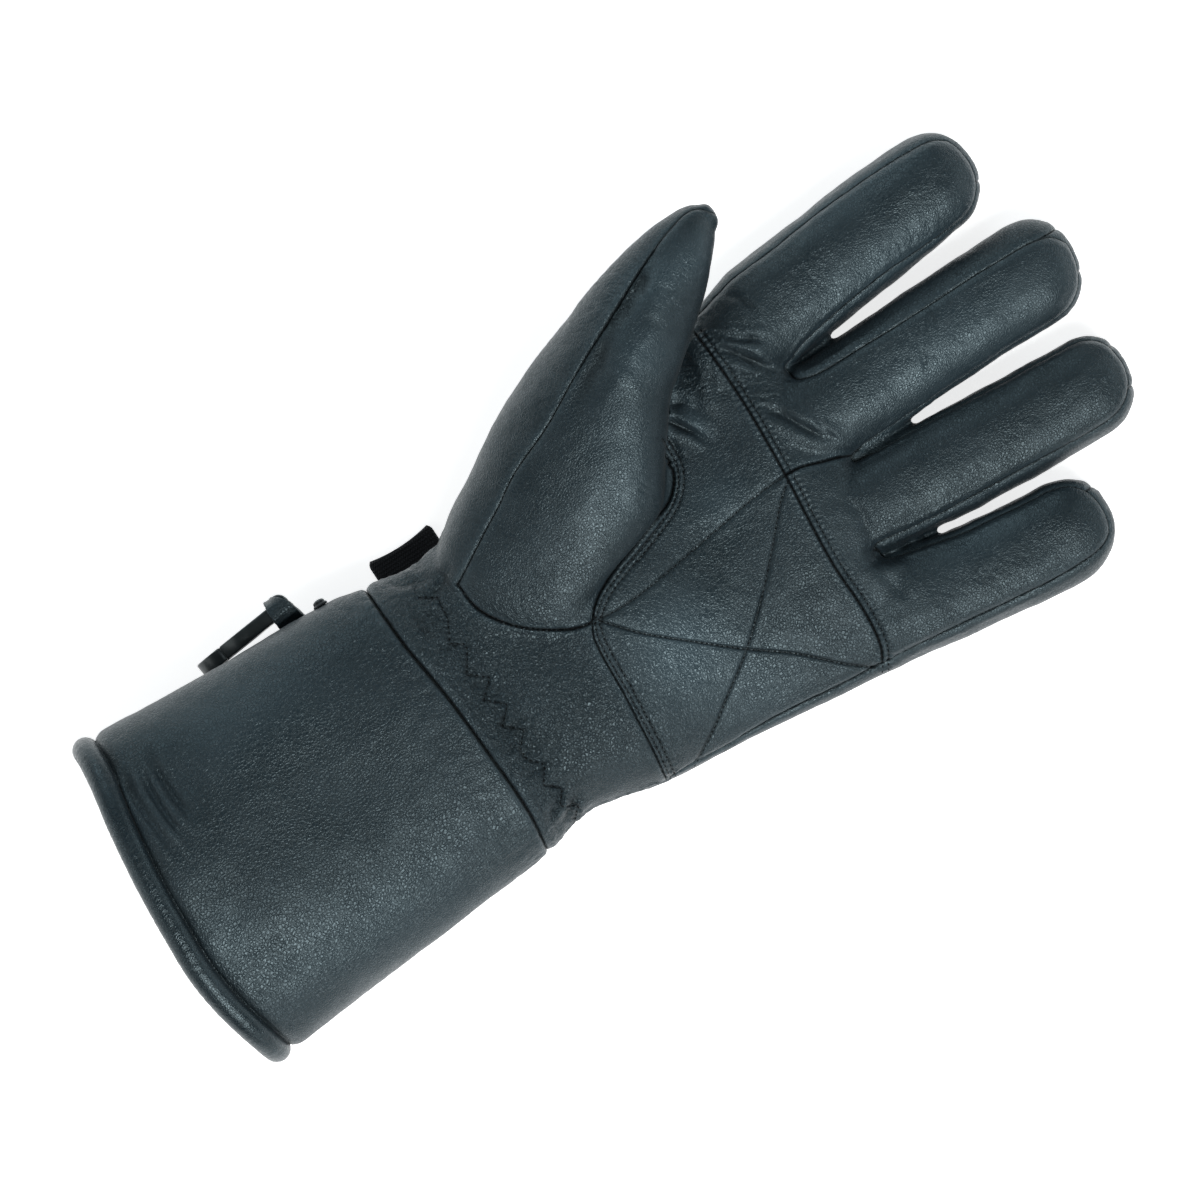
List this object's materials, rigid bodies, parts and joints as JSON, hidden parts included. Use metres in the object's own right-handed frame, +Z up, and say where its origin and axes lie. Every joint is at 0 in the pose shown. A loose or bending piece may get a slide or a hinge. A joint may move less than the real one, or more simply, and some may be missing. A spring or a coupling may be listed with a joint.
{
  "type": "gauntlet glove",
  "caption": "Left-hand black leather gauntlet glove lying palm up: sewn panels, finger gussets, quilted palm patch, gathered wrist, long cuff with a rolled rim, wrist strap and plastic clip.",
  "frame": {"origin": "centre of the glove's outline, on the surface that it lies on", "axes": "+Z up, out of the palm; +Y along the hand to the fingertips; -X to the thumb side"},
  "size_m": [0.1588, 0.3408, 0.0556],
  "materials": {
    "leather": "satin, fine pebble grain",
    "rim_leather": "satin, rolled and creased",
    "webbing": "matte woven webbing",
    "plastic": "moulded, semi-gloss",
    "stud_metal": "black lacquer"
  },
  "bodies": {
    "root": {"cuff": "leather", "cuff_piping": "rim_leather", "wrist_thumb_panel": "leather", "palm_patch": "leather", "index_middle_front": "leather", "ring_little_front": "leather", "thumb_front": "leather", "hand_back": "leather", "gusset_index_middle": "leather", "gusset_middle_ring": "leather", "gusset_ring_little": "leather", "wrist_strap": "webbing", "clip_loop": "leather", "clip": "plastic", "cuff_stud": "stud_metal"}
  },
  "joints": []
}
